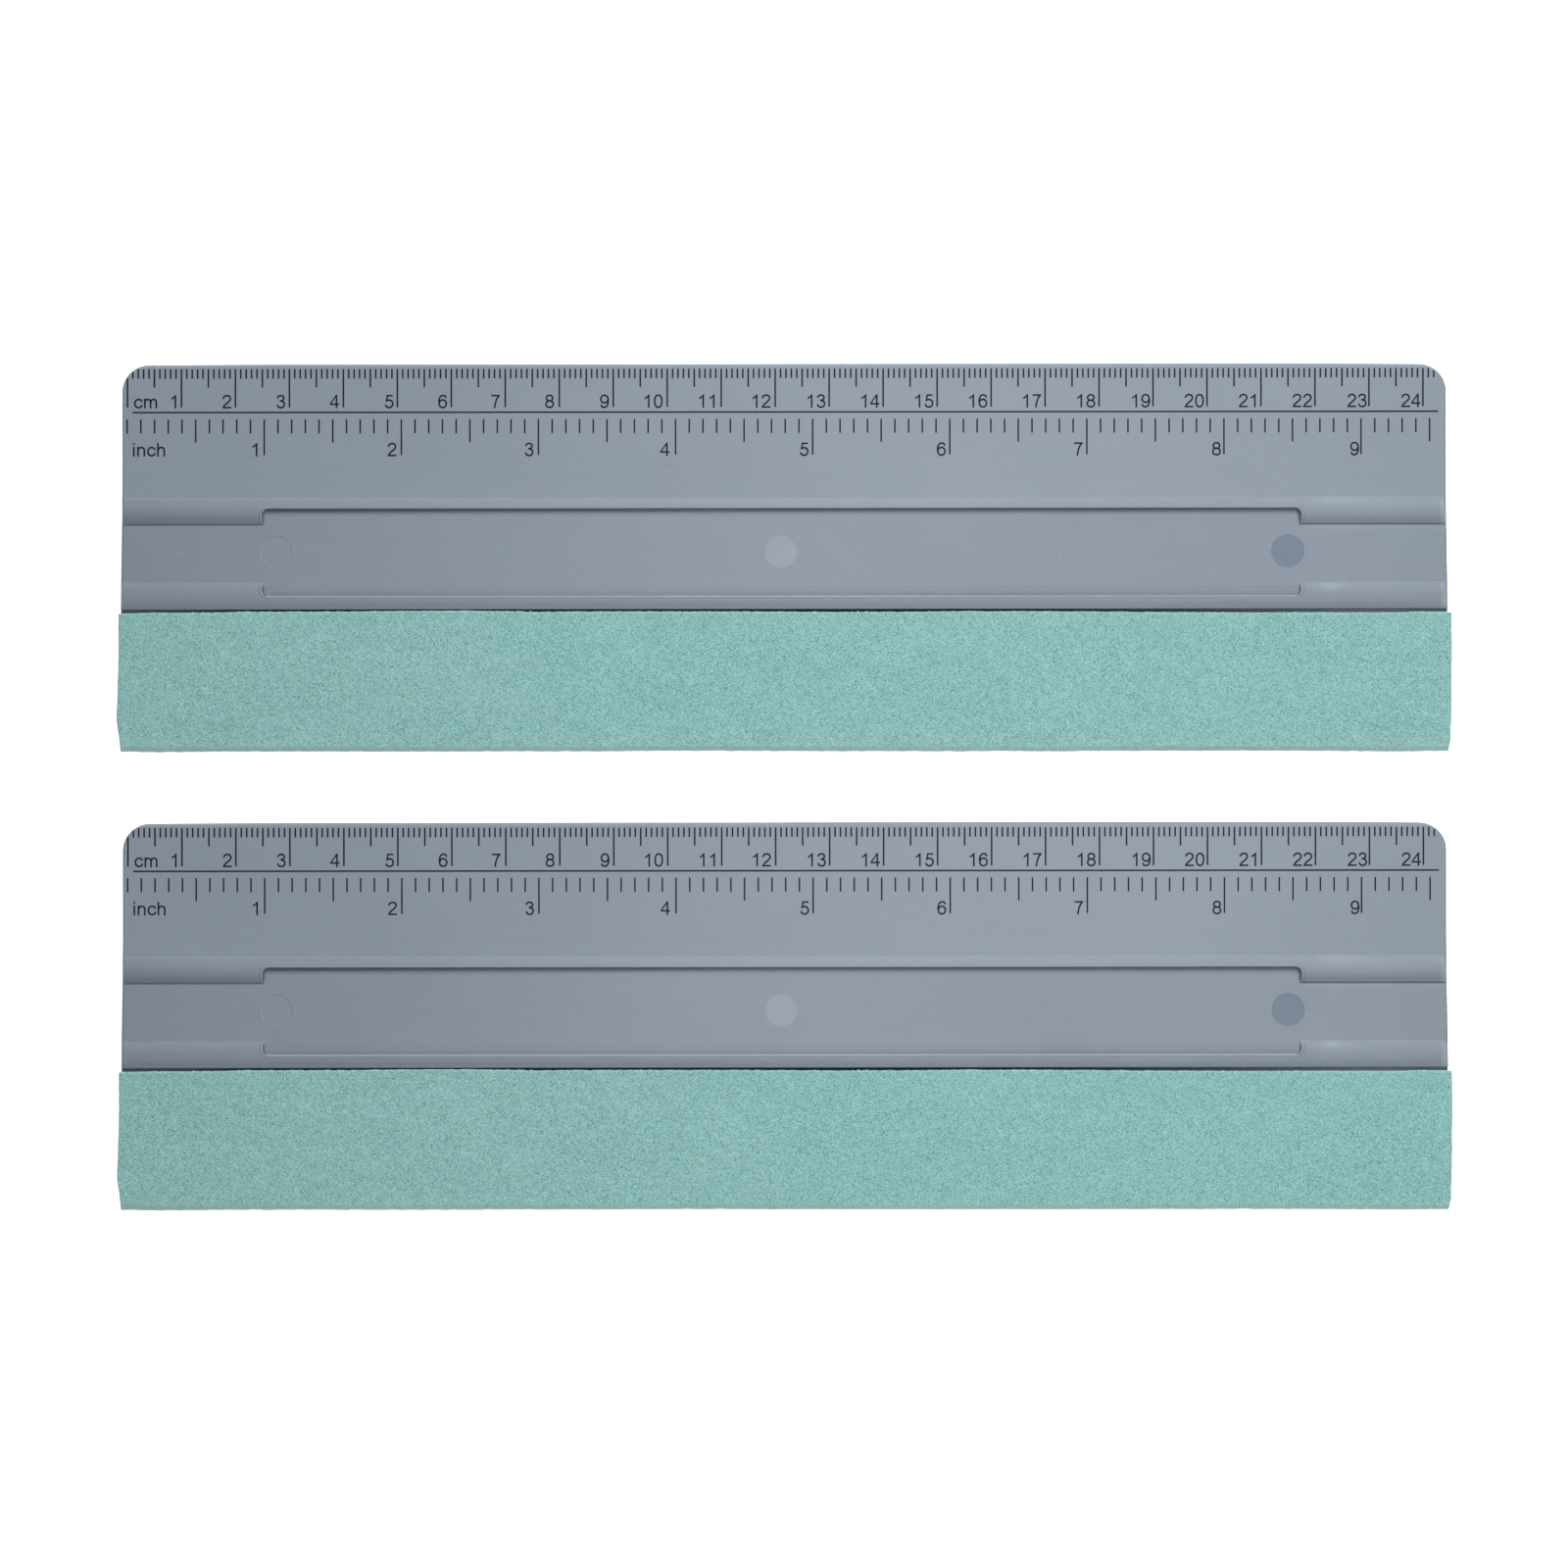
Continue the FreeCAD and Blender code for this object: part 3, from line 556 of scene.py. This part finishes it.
    # round the outline: the tip from left to right, up the right side, the
    # scale edge from right to left, down the left side
    loop = np.concatenate([idx[-1, :-1], idx[::-1, -1][:-1], idx[0, ::-1][:-1], idx[:, 0][:-1]])
    P = top[loop]
    d_loop = D.reshape(-1)[loop]
    blade = d_loop > D_REBATE + 0.01
    back = np.where(blade, Z_BLADE, 0.0)
    turn = np.clip((d_loop - (D_TIP - BLADE_R)) / BLADE_R, 0, 1) ** 2
    radius = np.where(blade, 0.10 + (TIP_R - 0.12) * turn, BACK_R)
    tan = np.roll(P[:, :2], -1, 0) - np.roll(P[:, :2], 1, 0)
    tan /= np.linalg.norm(tan, axis=1, keepdims=True)
    inward = np.stack([-tan[:, 1], tan[:, 0]], -1)
    verts, prev, base = [top], loop, len(top)
    for ang in np.linspace(0, math.pi / 2, 5):
        ring = np.column_stack([P[:, :2] + inward * (radius * (1 - math.cos(ang)))[:, None],
                                back + radius * (1 - math.sin(ang))])
        verts.append(ring)
        cur = base + np.arange(len(ring))
        quads.append(np.stack([prev, cur, np.roll(cur, -1), np.roll(prev, -1)], -1))
        prev, base = cur, base + len(ring)
    faces = [tuple(q) for q in np.concatenate(quads)]
    # the back: rungs from side to side, one to each row
    nb, ns = cols - 1, n_rows - 1
    tip = prev[:nb + 1]
    right = prev[nb:nb + ns + 1]
    edge = prev[nb + ns:2 * nb + ns + 1]
    left = np.concatenate([prev[2 * nb + ns:], prev[:1]])[::-1]
    faces.append(tuple(tip[::-1]) + (left[1], right[1]))
    for i in range(1, ns - 1):
        faces.append((left[i], left[i + 1], right[i + 1], right[i]))
    faces.append(tuple(edge[::-1]) + (right[ns - 1], left[ns - 1]))
    # the right-hand pin left a bluer spot
    cool = 0.20 * np.clip((PIN_R + 0.1 - np.hypot(X - PINS[2][0], D - PIN_D)) / 0.2, 0, 1)
    rest = np.zeros(base - len(top))
    attrs = {"tone": np.concatenate([tone.reshape(-1), rest]),
             "cool": np.concatenate([cool.reshape(-1), rest])}
    return np.concatenate(verts), faces, attrs


def build_boards(mat):
    verts, faces, attrs = board_mesh()
    for side, dy in SIDES:
        ob = new_object(side + "_moulded_board", verts, faces, dy, mat, 38, attrs)
        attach(ob, side + "_ruler")
        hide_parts(side + "_board")


# ---------------------------------------------------------------- suede strip

SUEDE_T, TAPE_T = 0.8, 0.1
# how the hand-cut strip strays from true, in millimetres: its front cut edge
# and its fold along x, and its two ends along d
CUT_LINE = ((-122, -116, -105, -100, -84, -73, -65, -56, -51, -45, 20, 33, 58, 69, 85, 96, 102, 113, 118, 122),
            (.09, .0, -.02, -.14, -.17, -.27, -.34, -.24, -.15, .0, .0, -.12, -.03, .18, .27, .16, .25, .24, .02, .08))
FOLD_LINE = ((-122, -119, -109, -95, -73, -36, -18, 0, 36, 54, 73, 100, 109, 114, 118, 122),
             (.06, .17, .14, .08, .12, .13, .04, .10, .18, .17, .13, .16, .26, .30, .21, .19))
LEFT_END = ((47, 56, 59.7, 62.4, 64.2, 66, 67.8, 68.8, 69.7, 71.3),
            (.15, .15, .05, -.04, -.16, -.19, .08, .0, .0, -.10))
RIGHT_END = ((47, 58, 60, 62, 66, 67.8, 68.8, 70, 71.3),
             (.05, .04, .10, .05, .01, -.14, -.11, -.03, -.12))
SUEDE_W, SUEDE_X = 247.2, 0.12
D_FRONT, D_BACK = 45.8, 46.6


def suede_path():
    """The strip's inner face in section: points and outward normals, from the
    front cut edge round the fold to the back one."""
    z_back = Z_BLADE - TAPE_T
    ri = TIP_R + TAPE_T
    zc = z_back + ri
    tilt = math.atan(SLOPE)
    edge = np.array([0, .05, .13, .25, .4])
    pts, nor = [], []
    for d in merged(D_FRONT + edge, np.linspace(D_FRONT + 0.7, D_TURN, 50)):
        pts.append((d, Z_ROOT - SLOPE * (d - D_STEP) + TAPE_T))
        nor.append((math.sin(tilt), math.cos(tilt)))
    for a in np.linspace(math.pi / 2, -math.pi / 2, 15)[1:-1]:
        pts.append((D_TURN + ri * math.cos(a), zc + ri * math.sin(a)))
        nor.append((math.cos(a), math.sin(a)))
    for d in merged(D_BACK + edge, np.linspace(D_BACK + 0.8, D_TURN, 20))[::-1]:
        pts.append((d, z_back))
        nor.append((0.0, -1.0))
    return np.array(pts), np.array(nor)


def build_suede(mat):
    pts, nor = suede_path()
    n_path = len(pts)
    mid_line = pts + nor * SUEDE_T / 2
    s = np.concatenate([[0], np.cumsum(np.linalg.norm(np.diff(mid_line, axis=0), axis=1))])
    fold = s[np.argmax(pts[:, 0])]
    half = SUEDE_W / 2
    edge = np.array([.05, .13, .25, .4, .6])
    xs = merged((-half, half), -half + edge, half - edge, np.linspace(-half + 0.9, half - 0.9, 640))
    n_x = len(xs)
    inner_keep = np.unique(np.concatenate([np.arange(0, 54, 9), np.arange(54, 70, 3),
                                           np.arange(70, n_path, 6), [n_path - 1]]))
    for side, dy in SIDES:
        rng = np.random.default_rng(4)
        X, S = np.meshgrid(xs, s, indexing="ij")
        at_fold = np.exp(-((S - fold) / 1.1) ** 2)
        # the nap's relief over the outer face, rougher round the fold
        nap = (0.030 * smooth_noise(X / 1.6, S / 1.5, rng) + 0.026 * smooth_noise(X / 0.8, S / 0.8, rng)
               + 0.020 * smooth_noise(X / 7.0, S / 6.0, rng)
               + 0.035 * at_fold * smooth_noise(X / 0.9, S / 0.7, rng))
        from_end = np.minimum(X + half, half - X)
        from_cut = np.minimum(S, S[:, -1:] - S)
        nap = nap - quarter_drop(from_end, 0.22) - quarter_drop(from_cut, 0.22)
        # the ends wander, lean in at the fold's corners, and the back layer
        # stands a little proud at the left
        d_pos = pts[:, 0]
        is_back = np.clip((s - fold) / 1.5, 0, 1)
        wander_l = 0.12 * smooth_noise(s / 7.0, 0.0, rng) + 0.03 * smooth_noise(s / 0.8, 0.0, rng)
        wander_r = 0.12 * smooth_noise(s / 7.0, 0.0, rng) + 0.03 * smooth_noise(s / 0.8, 0.0, rng)
        lean_l = 0.52 * np.clip((d_pos - 67.3) / 4.0, 0, 1) + np.interp(d_pos, *LEFT_END)
        lean_r = 0.55 * np.clip((d_pos - 69.2) / 2.2, 0, 1) ** 1.5 - np.interp(d_pos, *RIGHT_END)
        toward_end = np.clip((np.abs(xs) / half - 0.97) / 0.03, 0, 1) ** 2
        shift = np.where(xs[:, None] < 0, (wander_l + lean_l - 0.10 * is_back)[None, :],
                         -(wander_r + lean_r)[None, :]) * toward_end[:, None]
        # the cut line bows and wanders by a tenth or two, and is fuzzy close up
        line_f = (np.interp(xs, *CUT_LINE) + 0.14 * (xs / half) ** 2 + 0.06 * smooth_noise(xs / 22.0, 0.0, rng)
                  + 0.035 * smooth_noise(xs / 3.1, 0.0, rng))
        fuzz = 0.035 * rng.standard_normal(n_x) - 0.16 * (rng.random(n_x) > 0.955) * rng.random(n_x)
        line_b = 0.10 * smooth_noise(xs / 4.7, 0.0, rng)
        pull = (np.clip(1 - s / 3.0, 0, 1)[None, :] * line_f[:, None]
                + np.clip(1 - s / 0.12, 0, 1)[None, :] * fuzz[:, None]
                + np.clip(1 - (s[-1] - s) / 1.5, 0, 1)[None, :] * line_b[:, None]
                + np.clip(1 - np.abs(s - fold) / 2.5, 0, 1)[None, :] * np.interp(xs, *FOLD_LINE)[:, None])

        def place(off):
            d = pts[None, :, 0] + nor[None, :, 0] * off + pull
            z = pts[None, :, 1] + nor[None, :, 1] * off
            x = (xs + SUEDE_X)[:, None] + shift
            return np.stack([x + 0 * d, Y_EDGE - d, z], -1)

        outer = place(SUEDE_T + nap)
        outer[..., 2] = np.maximum(outer[..., 2], 0.004)
        inner = place(np.full((n_x, n_path), 0.004))
        low, high = inner * 0.67 + outer * 0.33, inner * 0.33 + outer * 0.67
        # a closed section: outer face, back cut, inner face, front cut
        sec = np.concatenate([outer, high[:, -1:], low[:, -1:], inner[:, inner_keep[::-1]],
                              low[:, :1], high[:, :1]], 1)
        n_sec = sec.shape[1]
        i, j = np.meshgrid(np.arange(n_x - 1), np.arange(n_sec), indexing="ij")
        a, b = i * n_sec + j, i * n_sec + (j + 1) % n_sec
        faces = [tuple(q) for q in np.stack([a, a + n_sec, b + n_sec, b], -1).reshape(-1, 4)]
        # the two ends: from each inner point to the next, with the outer ones between
        n_in = len(inner_keep)
        inner_at = lambda k: n_path + 2 + (n_in - 1 - k)
        for start, flip in ((0, False), ((n_x - 1) * n_sec, True)):
            for k in range(n_in - 1):
                poly = list(range(inner_keep[k], inner_keep[k + 1] + 1))
                if k == n_in - 2:
                    poly += [n_path, n_path + 1]
                poly += [inner_at(k + 1), inner_at(k)]
                if k == 0:
                    poly += [n_sec - 2, n_sec - 1]
                poly = [start + p for p in poly]
                faces.append(tuple(poly[::-1] if flip else poly))
        # paler toward the cut edges, the ends and the fold, and on the cut faces; a thin painted dark shade right at
        # the two ends
        edge_pale_and_end_shade = np.zeros((n_x, n_sec))
        edge_pale_and_end_shade[:, :n_path] = np.maximum(np.clip(1 - np.minimum(from_cut, from_end) / 0.30, 0, 1),
                                      3.2 * np.exp(-((S - fold + 0.35) / 0.55) ** 2))
        edge_pale_and_end_shade[:, :n_path] -= 1.4 * np.exp(-(from_end / 0.09) ** 2)
        edge_pale_and_end_shade[:, n_path:n_path + 2] = 0.8
        edge_pale_and_end_shade[:, -2:] = 0.8
        ob = new_object(side + "_suede_strip", sec.reshape(-1, 3), faces, dy, mat, 50,
                        {"cut": edge_pale_and_end_shade.reshape(-1)})
        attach(ob, side + "_ruler")
        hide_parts(side + "_suede_edge")
    return float(s[-1])


# ---------------------------------------------------------------- make everything

build_boards(plastic_material())
strip_len = build_suede(suede_material())
print("suede strip length", round(strip_len, 2), "mm")

ink, film = ink_material(), film_material()
for name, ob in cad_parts.items():
    if name.endswith(("_board", "_suede_edge")):
        continue
    ob.data.materials.clear()
    ob.data.materials.append(film if name.endswith("_adhesive_tape") else ink)

# ---------------------------------------------------------------- stage and light


def make_floor():
    m = Nodes("pale_floor")
    col = m.mix(m.noise(120.0, 2.0, 0.5), (0.93, 0.93, 0.93), (0.96, 0.96, 0.96))
    m.principled(Base_Color=col, Roughness=0.9,
                 **{"Specular IOR Level": 0.1, "Emission Color": (1.0, 1.0, 1.0, 1.0),
                    "Emission Strength": 1.0})
    me = bpy.data.meshes.new("floor")
    h = 3.0
    me.from_pydata([(-h, -h, -0.0002), (h, -h, -0.0002), (h, h, -0.0002), (-h, h, -0.0002)],
                   [], [(0, 1, 2, 3)])
    me.materials.append(m.mat)
    ob = bpy.data.objects.new("floor", me)
    scene.collection.objects.link(ob)


def area_light(name, loc, size_x, size_y, power, target, glossy=True):
    d = bpy.data.lights.new(name, 'AREA')
    d.shape = 'RECTANGLE'
    d.size, d.size_y = size_x, size_y
    d.energy = power
    ob = bpy.data.objects.new(name, d)
    ob.location = loc
    ob.rotation_euler = (Vector(target) - Vector(loc)).to_track_quat('-Z', 'Y').to_euler()
    ob.visible_glossy = glossy
    scene.collection.objects.link(ob)


make_floor()

world = bpy.data.worlds.new("world")
scene.world = world
world.use_nodes = True
bg = world.node_tree.nodes["Background"]
bg.inputs["Color"].default_value = (0.97, 0.985, 1.0, 1.0)
bg.inputs["Strength"].default_value = 0.06

# a long soft strip overhead, right of the middle, lit evenly along Y
area_light("overhead_strip", (0.055, 0.0, 0.30), 0.14, 1.2, 0.95, (0.055, 0.0, 0.0))
# the key, a big soft panel beyond the scale edge and to the right; the matt
# plastic shows no highlight of it
area_light("key", (0.75, 1.90, 1.95), 1.50, 1.50, 83.5, (0.0, 0.0, 0.0), glossy=False)
